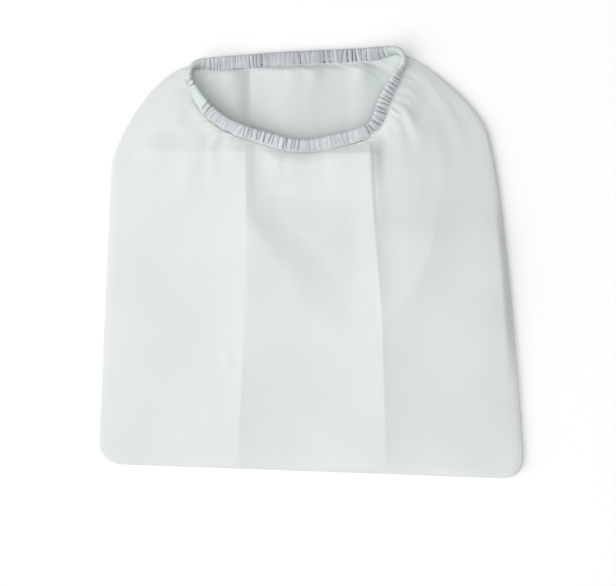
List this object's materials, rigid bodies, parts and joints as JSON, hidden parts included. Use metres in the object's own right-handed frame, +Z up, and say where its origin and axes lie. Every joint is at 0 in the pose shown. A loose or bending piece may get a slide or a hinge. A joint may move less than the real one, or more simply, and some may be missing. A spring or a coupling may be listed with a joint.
{
  "type": "reusable dust bag",
  "caption": "Flat cloth dust bag with rounded bottom corners and a gathered elastic mouth held ajar, for a vacuum or dust collector.",
  "frame": {"origin": "middle of the bag's outer box, on the table that it lies on", "axes": "+Z up from the table, through the flat of the bag; +Y from the bottom seam to the mouth; +X to the right of someone who looks down on it with the mouth away from them"},
  "size_m": [0.302, 0.3084, 0.0162],
  "materials": {
    "cloth": "matt white filter cloth",
    "thread": "matt overlock thread",
    "elastic": "matt braided elastic"
  },
  "bodies": {
    "root": {"front_panel": "cloth", "back_panel": "cloth", "mouth_edging": "thread", "elastic_band": "elastic", "seam_thread": "thread"}
  },
  "joints": []
}
